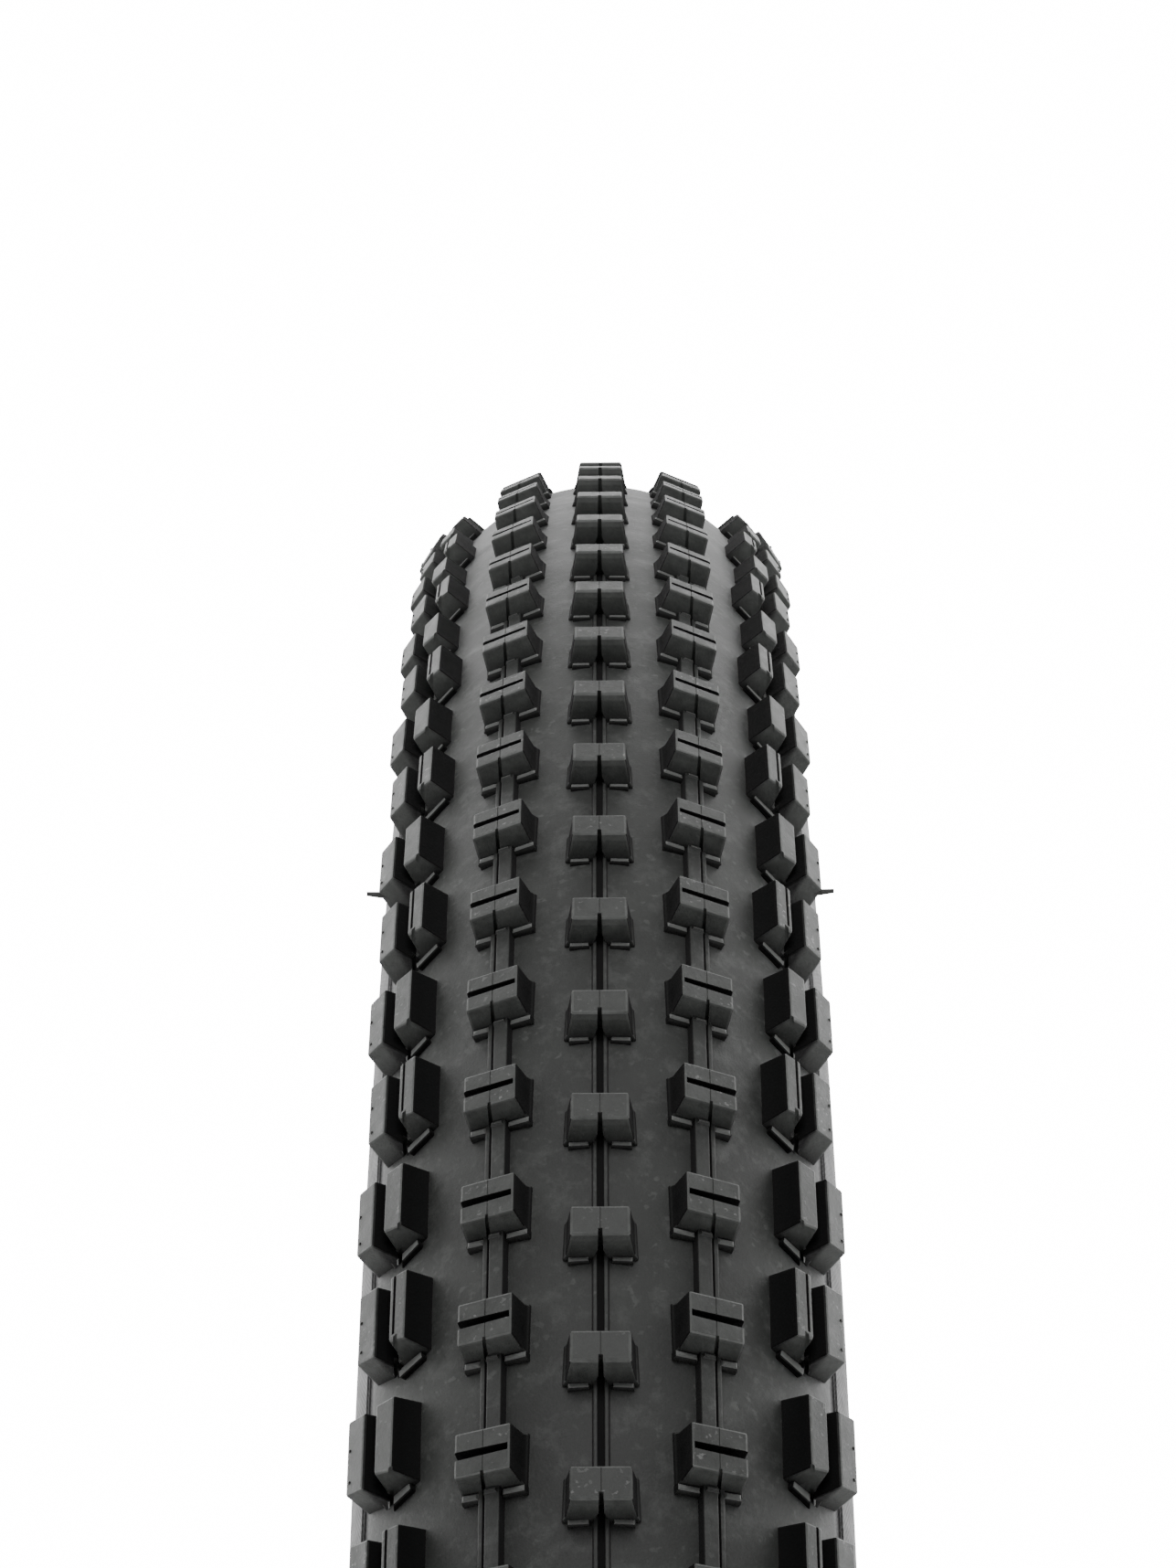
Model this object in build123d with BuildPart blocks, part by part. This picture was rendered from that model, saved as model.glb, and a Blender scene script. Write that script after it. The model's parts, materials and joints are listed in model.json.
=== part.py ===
"""Knobbly tubeless-ready mountain bike tyre, size 61-622 (29 x 2.4 inch), off the wheel.

The tyre is built up in its real layers, from the airtight liner out to the knobs. The axle line is the
Y axis, through the origin. Each layer is a band of the round section, turned about the axle, and each
row of knobs is one knob set out evenly round the tyre. All lengths are in millimetres.
"""

import os
from math import acos, atan2, cos, degrees, pi, radians, sin, tan

from build123d import *

# Seat on the rim
bead_seat_radius = 311.0
bead_seat_width = 5.2

# Round section of the casing. Angles run from the crown, 0, out and down to the beads.
section_height = 26.0
section_inner_radius = 28.95
sidewall_inset = 4.0
widest_angle = 90.0

# Layers, from the inside out
liner_thickness = 0.3
ply_thickness = 0.4
breaker_thickness = 0.5
undertread_thickness = 1.1
sidewall_skin_thickness = 0.9
chafer_thickness = 0.6
bead_core_radius = 1.3
bond_gap = 0.02

# Edges of the layers, as angles from the crown
breaker_edge_angle = 49.0
undertread_edge_angle = 63.0
turn_up_angle = 104.0
filler_tip_angle = 14.0
edge_gap_angle = 0.1

# Tread pattern
knob_count = 126
base_reach = 1.6

# Centre knobs: one at every pitch
centre_knob_length = 4.3
centre_knob_width = 7.2
centre_knob_height = 4.1
centre_knob_draft = 7.0
centre_slit_width = 0.6
centre_slit_depth = 1.1

# Transition knobs, between the centre and the shoulders
transition_angle = 22.4
transition_knob_length = 6.8
transition_knob_width = 6.3
transition_knob_height = 4.0
transition_knob_draft = 6.0
transition_lead = -5.8
transition_slit_width = 0.5
transition_slit_depth = 2.4
transition_bridge = 0.9

# Shoulder knobs: an inner ridge and an outer ridge on one foot, with a pocket between them
shoulder_knob_length = 10.9
shoulder_lead = 5.7
shoulder_inner_width = 2.9
shoulder_outer_width = 3.9
shoulder_inner_height = 4.1
shoulder_outer_height = 4.5
shoulder_inner_angle = 43.9
shoulder_outer_angle = 52.6
shoulder_outer_lean = 4.0
shoulder_foot_height = 1.3
shoulder_shift_angle = 2.3
shoulder_wall_draft = 5.0
shoulder_slit_width = 0.5
shoulder_slit_depth = 2.2
shoulder_slit_end = 1.0
shoulder_slit_offset = 0.7

# Low ribs that tie each knob to the next in its row
tie_rib_height = 1.0
tie_rib_clearance = 0.3
centre_rib_width = 0.8
centre_rib_spacing = 1.5
transition_rib_width = 3.0
transition_rib_inset = 0.6
transition_groove_width = 0.5
transition_groove_depth = 0.6

# Rubber hairs left by the mould's air vents
vent_hair_count = 9
vent_hair_radius = 0.35
vent_hair_length = 3.4
vent_hair_drop = 1.2
vent_hair_margin = 0.9

# Sizes that follow from those above
section_centre_radius = bead_seat_radius + section_height
ply_inner_radius = section_inner_radius + liner_thickness + bond_gap
ply_outer_radius = ply_inner_radius + ply_thickness + bond_gap
casing_radius = ply_outer_radius + ply_thickness
breaker_radius = casing_radius + bond_gap
undertread_inner_radius = breaker_radius + breaker_thickness + bond_gap
undertread_radius = undertread_inner_radius + undertread_thickness
sidewall_inner_radius = casing_radius + bond_gap
sidewall_radius = sidewall_inner_radius + sidewall_skin_thickness

section_centre = (0, section_centre_radius)
lower_centre = (sidewall_inset, section_centre_radius)

tread_radius = section_centre_radius + undertread_radius
pitch = 2 * pi * tread_radius / knob_count

bead_wrap_radius = bead_core_radius + bond_gap
chafer_wrap_radius = bead_wrap_radius + ply_thickness + bond_gap
bead_centre_radius = bead_seat_radius + chafer_thickness + chafer_wrap_radius
bead_reach = casing_radius + bead_wrap_radius - sidewall_inset
bead_angle = degrees(acos((bead_centre_radius - section_centre_radius) / bead_reach))


def direction(angle):
    """Unit step in the section plane at an angle from the crown, towards the left side."""
    return Vector(sin(radians(angle)), cos(radians(angle)))


bead_centre = Vector(*lower_centre) + direction(bead_angle) * bead_reach

# The turned-up ply leaves the bead core and closes on the casing along an arc that touches it at its top
turn_up_start = casing_radius - sidewall_inset + bond_gap
turn_up_end = bead_reach + bead_wrap_radius
turn_up_span = cos(radians(bead_angle - turn_up_angle))
turn_up_shift = (turn_up_end**2 - turn_up_start**2) / (2 * (turn_up_start - turn_up_end * turn_up_span))
turn_up_radius = turn_up_start + turn_up_shift
turn_up_centre = Vector(*lower_centre) - direction(turn_up_angle) * turn_up_shift
turn_up_foot = Vector(*lower_centre) + direction(bead_angle) * turn_up_end - turn_up_centre
turn_up_foot_angle = degrees(atan2(turn_up_foot.X, turn_up_foot.Y))


def band(centre, inner, outer, start, stop):
    """Flat band between two radii about a centre, from one angle off the crown direction to another."""
    with BuildSketch() as face:
        with BuildLine():
            near = CenterArc(centre, inner, 90 - start, start - stop)
            far = CenterArc(centre, outer, 90 - start, start - stop)
            Line(near @ 0, far @ 0)
            Line(near @ 1, far @ 1)
        make_face()
    return face.sketch


def left_layer(inner, outer, start, stop):
    """Section of a layer down the left side: about the section centre, then about the lower centre."""
    with BuildSketch() as face:
        if start < widest_angle:
            add(band(section_centre, inner, outer, start, min(stop, widest_angle)))
        if stop > widest_angle:
            lower_start = max(start, widest_angle)
            add(band(lower_centre, inner - sidewall_inset, outer - sidewall_inset, lower_start, stop))
    return face.sketch


def turned(section):
    """Solid ring of a section in the axle plane, turned once about the axle."""
    with BuildPart() as ring:
        with BuildSketch(Plane.YZ):
            add(section)
        revolve(axis=Axis.Y)
    return ring.part


def both_sides(section):
    """A left-hand section joined with its mirror image across the middle of the tyre."""
    with BuildSketch() as face:
        add(section)
        mirror(about=Plane.YZ)
    return face.sketch


def tread_plane(angle, height, lean=0.0):
    """Plane over the undertread: x runs round the tyre, y outwards across it and z away from it."""
    foot = Vector(*section_centre) + direction(angle) * (undertread_radius + height)
    up = direction(angle + lean)
    return Plane(origin=(0, foot.X, foot.Y), x_dir=(1, 0, 0), z_dir=(0, up.X, up.Y))


def around(count, lead):
    """Placements spaced evenly round the axle, starting a distance ahead of the top along the tread."""
    start = degrees(lead / tread_radius)
    return [Rotation(0, start + step * 360 / count, 0) for step in range(count)]


def ridge(angle, height, lean, width):
    """Section across a ridge of tread rubber that is wider at its foot than along its top."""
    depth = height + base_reach
    foot_width = width + 2 * depth * tan(radians(shoulder_wall_draft))
    top = Vector(*section_centre) + direction(angle) * (undertread_radius + height)
    with BuildSketch() as face:
        with Locations((top.X, top.Y)):
            Trapezoid(
                foot_width,
                depth,
                90 - shoulder_wall_draft,
                rotation=-(angle + lean),
                align=(Align.CENTER, Align.MAX),
            )
    return face.sketch


def block(angle, length, width, height, draft):
    """Tread block with a flat top and sloping walls, standing on the undertread at the top of the tyre."""
    with BuildPart() as knob:
        with BuildSketch(tread_plane(angle, height)):
            Rectangle(length, width)
        extrude(amount=-(height + base_reach), taper=-draft)
        add(tread_ground, mode=Mode.SUBTRACT)
    return knob.part


def shoulder_unit(shift):
    """Shoulder knob moved outwards by an angle: two ridges on one foot, with the pocket between them."""
    inner_angle = shoulder_inner_angle + shift
    outer_angle = shoulder_outer_angle + shift
    foot_bottom = undertread_radius - base_reach
    foot_top = undertread_radius + shoulder_foot_height
    with BuildPart() as knob:
        with BuildSketch(Plane.YZ):
            add(ridge(inner_angle, shoulder_inner_height, 0, shoulder_inner_width))
            add(ridge(outer_angle, shoulder_outer_height, shoulder_outer_lean, shoulder_outer_width))
            add(band(section_centre, foot_bottom, foot_top, inner_angle, outer_angle))
        extrude(amount=shoulder_knob_length / 2, both=True)
        add(tread_ground, mode=Mode.SUBTRACT)
    return knob.part


def rib_length(knob_length, knob_height, knob_draft):
    """Length of the rib that fills the gap between two knobs of a row, less its clearances."""
    foot_length = knob_length + 2 * knob_height * tan(radians(knob_draft))
    return pitch - foot_length - 2 * tie_rib_clearance


def mirrored(piece):
    """The right-hand twin of a left-hand piece."""
    return mirror(piece, about=Plane.XZ)


# What the feet of the knobs are cut to: the round of the undertread, straight over one knob's length
with BuildPart() as ground:
    with BuildSketch(Plane.YZ):
        with Locations(section_centre):
            Circle(undertread_radius + bond_gap)
    extrude(amount=pitch / 2, both=True)
tread_ground = ground.part

# Inner liner: the thin airtight rubber that faces the tyre's inside
with BuildPart() as inner_liner:
    liner_outer_radius = section_inner_radius + liner_thickness
    liner_section = left_layer(section_inner_radius, liner_outer_radius, 0, bead_angle - edge_gap_angle)
    add(turned(both_sides(liner_section)))
inner_liner.part.label = "inner_liner"

# Inner ply of the casing: from bead to bead, cut off above the bead cores
with BuildPart() as casing_ply_inner:
    ply_section = left_layer(
        ply_inner_radius, ply_inner_radius + ply_thickness, 0, bead_angle - edge_gap_angle
    )
    add(turned(both_sides(ply_section)))
casing_ply_inner.part.label = "casing_ply_inner"

# Outer ply of the casing: from bead to bead, round each core and turned up outside it
with BuildPart() as casing_ply_outer:
    with BuildSketch() as outer_ply_left:
        add(left_layer(ply_outer_radius, casing_radius, 0, bead_angle))
        add(
            band(
                (bead_centre.X, bead_centre.Y),
                bead_wrap_radius,
                bead_wrap_radius + ply_thickness,
                turn_up_foot_angle,
                bead_angle + 180,
            )
        )
        add(
            band(
                (turn_up_centre.X, turn_up_centre.Y),
                turn_up_radius,
                turn_up_radius + ply_thickness,
                turn_up_angle,
                turn_up_foot_angle,
            )
        )
    add(turned(both_sides(outer_ply_left.sketch)))
casing_ply_outer.part.label = "casing_ply_outer"

# Bead cores: the inextensible hoops that hold the tyre on the rim
with BuildPart() as bead_core_left:
    with BuildSketch() as bead_core_section:
        with Locations((bead_centre.X, bead_centre.Y)):
            Circle(bead_core_radius)
    add(turned(bead_core_section.sketch))
bead_core_left.part.label = "bead_core_left"

with BuildPart() as bead_core_right:
    add(mirrored(bead_core_left.part))
bead_core_right.part.label = "bead_core_right"

# Bead fillers: the hard rubber wedges between the casing and its turned-up edges
with BuildPart() as bead_filler_left:
    with BuildSketch() as filler_section:
        add(
            band(
                lower_centre,
                turn_up_start,
                turn_up_end,
                turn_up_angle + filler_tip_angle,
                bead_angle,
            )
        )
        with Locations((turn_up_centre.X, turn_up_centre.Y)):
            Circle(turn_up_radius - bond_gap, mode=Mode.INTERSECT)
        with Locations((bead_centre.X, bead_centre.Y)):
            Circle(chafer_wrap_radius, mode=Mode.SUBTRACT)
    add(turned(filler_section.sketch))
bead_filler_left.part.label = "bead_filler_left"

with BuildPart() as bead_filler_right:
    add(mirrored(bead_filler_left.part))
bead_filler_right.part.label = "bead_filler_right"

# Chafer strips: the wear strips that wrap the beads, with the flat seats that grip the rim
with BuildPart() as chafer_left:
    turn_up_outside = turn_up_radius + ply_thickness + bond_gap
    with BuildSketch() as chafer_section:
        with Locations((bead_centre.X, bead_seat_radius)):
            Rectangle(
                bead_seat_width,
                bead_centre_radius - bead_seat_radius,
                align=(Align.CENTER, Align.MIN),
            )
        add(
            band(
                (bead_centre.X, bead_centre.Y),
                chafer_wrap_radius,
                chafer_wrap_radius + chafer_thickness,
                turn_up_foot_angle,
                bead_angle + 180,
            )
        )
        with Locations((bead_centre.X, bead_centre.Y)):
            Circle(chafer_wrap_radius, mode=Mode.SUBTRACT)
        add(
            band(
                (turn_up_centre.X, turn_up_centre.Y),
                turn_up_radius - bead_core_radius,
                turn_up_outside,
                turn_up_angle,
                turn_up_foot_angle,
            ),
            mode=Mode.SUBTRACT,
        )
        add(
            band(
                (turn_up_centre.X, turn_up_centre.Y),
                turn_up_outside,
                turn_up_outside + chafer_thickness,
                turn_up_angle,
                turn_up_foot_angle,
            )
        )
    add(turned(chafer_section.sketch))
chafer_left.part.label = "chafer_left"

with BuildPart() as chafer_right:
    add(mirrored(chafer_left.part))
chafer_right.part.label = "chafer_right"

# Puncture breaker: the cut-resistant fabric belt under the tread
with BuildPart() as puncture_breaker:
    breaker_section = left_layer(
        breaker_radius, breaker_radius + breaker_thickness, 0, breaker_edge_angle
    )
    add(turned(both_sides(breaker_section)))
puncture_breaker.part.label = "puncture_breaker"

# Undertread: the rubber base of the tread, thicker past the edges of the breaker
with BuildPart() as undertread:
    with BuildSketch() as undertread_left:
        add(left_layer(undertread_inner_radius, undertread_radius, 0, undertread_edge_angle))
        add(
            left_layer(
                breaker_radius,
                undertread_radius,
                breaker_edge_angle + edge_gap_angle,
                undertread_edge_angle,
            )
        )
    add(turned(both_sides(undertread_left.sketch)))
undertread.part.label = "undertread"

# Sidewall skins: the thin weather-proof rubber from the shoulders down to the chafers
with BuildPart() as sidewall_skin_left:
    skin_section = left_layer(
        sidewall_inner_radius,
        sidewall_radius,
        undertread_edge_angle + edge_gap_angle,
        turn_up_angle - edge_gap_angle,
    )
    add(turned(skin_section))
sidewall_skin_left.part.label = "sidewall_skin_left"

with BuildPart() as sidewall_skin_right:
    add(mirrored(sidewall_skin_left.part))
sidewall_skin_right.part.label = "sidewall_skin_right"

# Centre knobs: square braking blocks, each with a slit down its front wall
with BuildPart() as centre_knob:
    add(block(0, centre_knob_length, centre_knob_width, centre_knob_height, centre_knob_draft))
    with BuildSketch(tread_plane(0, centre_knob_height)):
        with Locations((centre_knob_length / 2, 0)):
            Rectangle(2 * centre_slit_depth, centre_slit_width)
    extrude(amount=-(centre_knob_height + base_reach), mode=Mode.SUBTRACT)

with BuildPart() as centre_knobs:
    with Locations(*around(knob_count, 0)):
        add(centre_knob.part)
centre_knobs.part.label = "centre_knobs"

# Transition knobs: siped blocks on both sides of the centre row
with BuildPart() as transition_knob:
    add(
        block(
            transition_angle,
            transition_knob_length,
            transition_knob_width,
            transition_knob_height,
            transition_knob_draft,
        )
    )
    with BuildSketch(tread_plane(transition_angle, transition_knob_height)):
        with Locations((0, transition_bridge)):
            Rectangle(transition_slit_width, transition_knob_width)
    extrude(amount=-transition_slit_depth, mode=Mode.SUBTRACT)

with BuildPart() as transition_knobs_left:
    with Locations(*around(knob_count, transition_lead)):
        add(transition_knob.part)
transition_knobs_left.part.label = "transition_knobs_left"

with BuildPart() as transition_knobs_right:
    add(mirrored(transition_knobs_left.part))
transition_knobs_right.part.label = "transition_knobs_right"

# Shoulder knobs: siped ones and plain ones take turns, and the plain ones stand further out
with BuildPart() as siped_shoulder_knob:
    add(shoulder_unit(0))
    with BuildSketch(tread_plane(shoulder_inner_angle, shoulder_inner_height)):
        with Locations((0, shoulder_slit_offset)):
            Rectangle(shoulder_knob_length - 2 * shoulder_slit_end, shoulder_slit_width)
    extrude(amount=-shoulder_slit_depth, mode=Mode.SUBTRACT)

with BuildPart() as siped_shoulder_knobs_left:
    with Locations(*around(knob_count // 2, shoulder_lead)):
        add(siped_shoulder_knob.part)
siped_shoulder_knobs_left.part.label = "siped_shoulder_knobs_left"

with BuildPart() as siped_shoulder_knobs_right:
    add(mirrored(siped_shoulder_knobs_left.part))
siped_shoulder_knobs_right.part.label = "siped_shoulder_knobs_right"

with BuildPart() as plain_shoulder_knobs_left:
    with Locations(*around(knob_count // 2, shoulder_lead + pitch)):
        add(shoulder_unit(shoulder_shift_angle))
plain_shoulder_knobs_left.part.label = "plain_shoulder_knobs_left"

with BuildPart() as plain_shoulder_knobs_right:
    add(mirrored(plain_shoulder_knobs_left.part))
plain_shoulder_knobs_right.part.label = "plain_shoulder_knobs_right"

# Centre tie ribs: a low pair in each gap of the centre row, with a fine groove between them
with BuildPart() as centre_rib_pair:
    centre_rib_length = rib_length(centre_knob_length, centre_knob_height, centre_knob_draft)
    with BuildSketch(tread_plane(0, tie_rib_height)):
        with GridLocations(0, centre_rib_spacing, 1, 2):
            Rectangle(centre_rib_length, centre_rib_width)
    extrude(amount=-(tie_rib_height + base_reach))
    add(tread_ground, mode=Mode.SUBTRACT)

with BuildPart() as centre_tie_ribs:
    with Locations(*around(knob_count, pitch / 2)):
        add(centre_rib_pair.part)
centre_tie_ribs.part.label = "centre_tie_ribs"

# Transition tie ribs: a grooved bar in each gap of the transition rows
with BuildPart() as transition_rib:
    transition_rib_length = rib_length(
        transition_knob_length, transition_knob_height, transition_knob_draft
    )
    with BuildSketch(tread_plane(transition_angle, tie_rib_height)):
        with Locations((0, -transition_rib_inset)):
            Rectangle(transition_rib_length, transition_rib_width)
    extrude(amount=-(tie_rib_height + base_reach))
    with BuildSketch(tread_plane(transition_angle, tie_rib_height)):
        Rectangle(transition_rib_length, transition_groove_width)
    extrude(amount=-transition_groove_depth, mode=Mode.SUBTRACT)
    add(tread_ground, mode=Mode.SUBTRACT)

with BuildPart() as transition_tie_ribs_left:
    with Locations(*around(knob_count, transition_lead + pitch / 2)):
        add(transition_rib.part)
transition_tie_ribs_left.part.label = "transition_tie_ribs_left"

with BuildPart() as transition_tie_ribs_right:
    add(mirrored(transition_tie_ribs_left.part))
transition_tie_ribs_right.part.label = "transition_tie_ribs_right"

# Vent hairs: they stand on the outer walls of some plain shoulder knobs, near the front edge
hair_plane = tread_plane(
    shoulder_outer_angle + shoulder_shift_angle, shoulder_outer_height, shoulder_outer_lean
)
hair_root = hair_plane.from_local_coords(
    Vector(
        shoulder_knob_length / 2 - vent_hair_margin,
        shoulder_outer_width / 2 + vent_hair_drop * tan(radians(shoulder_wall_draft)),
        -vent_hair_drop,
    )
)
wall_slope = radians(shoulder_wall_draft)
wall_normal = hair_plane.y_dir * cos(wall_slope) + hair_plane.z_dir * sin(wall_slope)

with BuildPart() as vent_hair:
    with BuildSketch(Plane(origin=hair_root + wall_normal * bond_gap, z_dir=wall_normal)):
        Circle(vent_hair_radius)
    extrude(amount=vent_hair_length)

with BuildPart() as vent_hairs:
    with Locations(*around(vent_hair_count, shoulder_lead + pitch)):
        add(vent_hair.part)
    mirror(about=Plane.XZ)
vent_hairs.part.label = "vent_hairs"

os.makedirs("parts", exist_ok=True)
pieces = [
    inner_liner,
    casing_ply_inner,
    casing_ply_outer,
    bead_core_left,
    bead_core_right,
    bead_filler_left,
    bead_filler_right,
    chafer_left,
    chafer_right,
    puncture_breaker,
    undertread,
    sidewall_skin_left,
    sidewall_skin_right,
    centre_knobs,
    transition_knobs_left,
    transition_knobs_right,
    siped_shoulder_knobs_left,
    siped_shoulder_knobs_right,
    plain_shoulder_knobs_left,
    plain_shoulder_knobs_right,
    centre_tie_ribs,
    transition_tie_ribs_left,
    transition_tie_ribs_right,
    vent_hairs,
]
for piece in pieces:
    export_step(piece.part, f"parts/{piece.part.label}.step")
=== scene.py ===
"""Looks of the knobbly mountain bike tyre: its moulded tread, skins and beads, and all their materials."""

import json
from math import acos, copysign, cos, degrees, pi, radians, sin

import bpy
import numpy as np
from mathutils import Matrix, Vector


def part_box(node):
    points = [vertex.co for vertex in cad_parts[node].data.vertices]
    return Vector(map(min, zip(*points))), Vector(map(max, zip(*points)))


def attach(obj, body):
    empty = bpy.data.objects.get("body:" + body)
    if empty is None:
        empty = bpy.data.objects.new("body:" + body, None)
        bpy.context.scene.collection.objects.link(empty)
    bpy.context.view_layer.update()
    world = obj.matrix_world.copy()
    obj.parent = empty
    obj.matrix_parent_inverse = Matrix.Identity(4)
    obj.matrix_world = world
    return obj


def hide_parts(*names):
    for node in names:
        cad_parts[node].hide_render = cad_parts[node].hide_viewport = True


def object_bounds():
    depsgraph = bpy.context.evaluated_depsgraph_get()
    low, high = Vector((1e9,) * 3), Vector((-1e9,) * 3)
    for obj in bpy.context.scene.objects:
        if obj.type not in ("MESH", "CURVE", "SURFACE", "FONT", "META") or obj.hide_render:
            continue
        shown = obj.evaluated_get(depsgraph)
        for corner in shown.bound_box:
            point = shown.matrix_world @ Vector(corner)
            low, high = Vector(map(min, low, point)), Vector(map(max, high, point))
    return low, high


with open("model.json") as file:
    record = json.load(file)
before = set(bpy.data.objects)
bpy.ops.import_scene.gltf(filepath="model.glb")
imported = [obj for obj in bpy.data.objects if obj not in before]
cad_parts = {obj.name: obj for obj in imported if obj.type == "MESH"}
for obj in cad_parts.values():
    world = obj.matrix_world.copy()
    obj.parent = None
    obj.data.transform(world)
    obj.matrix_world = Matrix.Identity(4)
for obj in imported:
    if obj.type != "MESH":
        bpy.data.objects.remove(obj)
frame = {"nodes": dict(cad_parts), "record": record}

cad_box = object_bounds()
MM = 0.001

# Radii from the axle, in millimetres
BEAD_SEAT = frame["record"]["mounts"][0]["dims"]["r_mm"]
SECTION_CENTRE = BEAD_SEAT + 26.0
KNOB_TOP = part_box("centre_knobs")[1].z / MM
TREAD_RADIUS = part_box("undertread")[1].z / MM

# Layers of the section, in millimetres: their radii run from the section's centre
UNDERTREAD = TREAD_RADIUS - SECTION_CENTRE
BOND_GAP = 0.02
LINER_INNER = 28.95
LINER_THICKNESS = 0.3
PLY_THICKNESS = 0.4
BREAKER_THICKNESS = 0.5
SIDEWALL_THICKNESS = 0.9
CHAFER_THICKNESS = 0.6
BEAD_CORE = 1.3
CASING = LINER_INNER + LINER_THICKNESS + 2 * (BOND_GAP + PLY_THICKNESS)
UNDERTREAD_INNER = CASING + BREAKER_THICKNESS + 2 * BOND_GAP
SIDEWALL_INNER = CASING + BOND_GAP
SIDEWALL = SIDEWALL_INNER + SIDEWALL_THICKNESS
SIDEWALL_INSET = 4.0
BEAD_WRAP = BEAD_CORE + BOND_GAP
CHAFER_WRAP = BEAD_WRAP + PLY_THICKNESS + BOND_GAP
SEAT_HALF = 2.6
EDGE_STEP = 0.12

# Places round the section, in degrees from the crown outwards
UNDERTREAD_EDGE = 63.0
EDGE_GAP = 0.1
EDGE_BLEND = 1.6
WIDEST_ANGLE = 90.0
TURN_UP_ANGLE = 104.0
LINER_EDGE = 149.5

# Thin lines moulded round a sidewall, as (angle, half width in degrees, height in millimetres)
MOULDED_LINES = ((66.2, 0.5, 0.28), (67.6, 0.5, 0.28), (98.8, 0.7, 0.42))

# Tread pattern, in millimetres and degrees: leads run round the tyre from its top, angles from the
# crown and heights from the undertread
KNOB_COUNT = 126
PITCH = 2 * pi * TREAD_RADIUS / KNOB_COUNT
TRANSITION_ANGLE = 22.4
TRANSITION_LEAD = -5.8
TRANSITION_HEIGHT = 4.0
SHOULDER_LEAD = 5.7
PLAIN_SHIFT = 2.3
PLAIN_EXTRA_WIDTH = 0.7
SHOULDER_PARTING = 24.85
INNER_RIDGE_HEIGHT = 4.1
OUTER_RIDGE_HEIGHT = 4.65
OUTER_RIDGE_EDGE = 4.45
POCKET_HEIGHT = 1.4
HAIRS_A_SIDE = 9
SINK = 0.45
GROOVE_SPAN = 2.0

RING_STEPS = KNOB_COUNT * 4

# Signs of the left and the right side
BOTH = (1, -1)


# ---------------------------------------------------------------- mesh tools
def new_object(name, verts, faces, crisp=32):
    """Mesh object from points in millimetres, smooth but for edges that turn by more than an angle."""
    mesh = bpy.data.meshes.new(name)
    mesh.from_pydata((np.asarray(verts) * MM).tolist(), [], faces)
    mesh.validate()
    mesh.shade_smooth()
    mesh.set_sharp_from_angle(angle=radians(crisp))
    obj = bpy.data.objects.new(name, mesh)
    bpy.context.collection.objects.link(obj)
    return obj


def placed(obj, node):
    """Piece on the tyre's body, standing for its CAD node, which it hides."""
    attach(obj, "root")
    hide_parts(node)
    return obj


def stack(levels):
    """Closed shell through outlines of the same number of points, given from the top down."""
    count = len(levels[0])
    verts = [point for level in levels for point in level]
    faces = [list(range(count)), list(range(len(verts) - 1, len(verts) - count - 1, -1))]
    for row in range(len(levels) - 1):
        for i in range(count):
            j = (i + 1) % count
            low = (row + 1) * count
            high = row * count
            faces.append([high + j, high + i, low + i, low + j])
    return outward((verts, faces))


def outward(shell):
    """Shell with its faces turned to face out, whichever way its outline ran."""
    verts, faces = shell
    points = np.asarray(verts, float)
    middle = points.mean(axis=0)
    volume = 0.0
    for face in faces:
        a, b, c = points[face[0]] - middle, points[face[1]] - middle, points[face[2]] - middle
        volume += np.dot(a, np.cross(b, c)) * (len(face) - 2)
    return shell if volume > 0 else (verts, [face[::-1] for face in faces])


def joined(shells):
    """Several shells as one list of points and one of faces."""
    verts, faces = [], []
    for points, sides in shells:
        start = len(verts)
        verts.extend(points)
        faces.extend([[start + i for i in side] for side in sides])
    return verts, faces


def carved(shell, cutters, edge_round):
    """Shell with its edges rounded and then the cutters taken out of it, as points and faces."""
    body = new_object("carving", *shell)
    bevel = body.modifiers.new("round", "BEVEL")
    bevel.width = edge_round * MM
    bevel.segments = 2
    bevel.limit_method = "ANGLE"
    bevel.angle_limit = radians(28)
    bevel.use_clamp_overlap = True
    tools = []
    for number, cutter in enumerate(cutters):
        tool = new_object(f"cutter{number}", *cutter)
        cut = body.modifiers.new("cut", "BOOLEAN")
        cut.object = tool
        cut.solver = "EXACT"
        tools.append(tool)
    seen = body.evaluated_get(bpy.context.evaluated_depsgraph_get())
    mesh = seen.to_mesh()
    verts = [tuple(v.co / MM) for v in mesh.vertices]
    faces = [list(p.vertices) for p in mesh.polygons]
    seen.to_mesh_clear()
    for obj in [body, *tools]:
        mesh = obj.data
        bpy.data.objects.remove(obj)
        bpy.data.meshes.remove(mesh)
    return verts, faces


def direction(angle):
    """Step in the section plane, as (across, up), at an angle from the crown."""
    return np.array([sin(radians(angle)), cos(radians(angle))])


def section_point(angle, height):
    """Point of the section plane at an angle from the crown and a height above the undertread."""
    y, z = direction(angle) * (UNDERTREAD + height)
    return np.array([0.0, y, z + SECTION_CENTRE])


def section_axes(angle):
    """Steps along the tread's curve and out of it, at an angle from the crown."""
    y, z = direction(angle)
    return np.array([0.0, z, -y]), np.array([0.0, y, z])


def stood(shell, angle):
    """Shell built flat, as (round the tyre, across, up), stood on the undertread at an angle."""
    verts, faces = shell
    points = np.asarray(verts, float)
    across, up = section_axes(angle)
    out = section_point(angle, 0.0) + np.outer(points[:, 1], across) + np.outer(points[:, 2], up)
    out[:, 0] += points[:, 0]
    return out, faces


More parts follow.
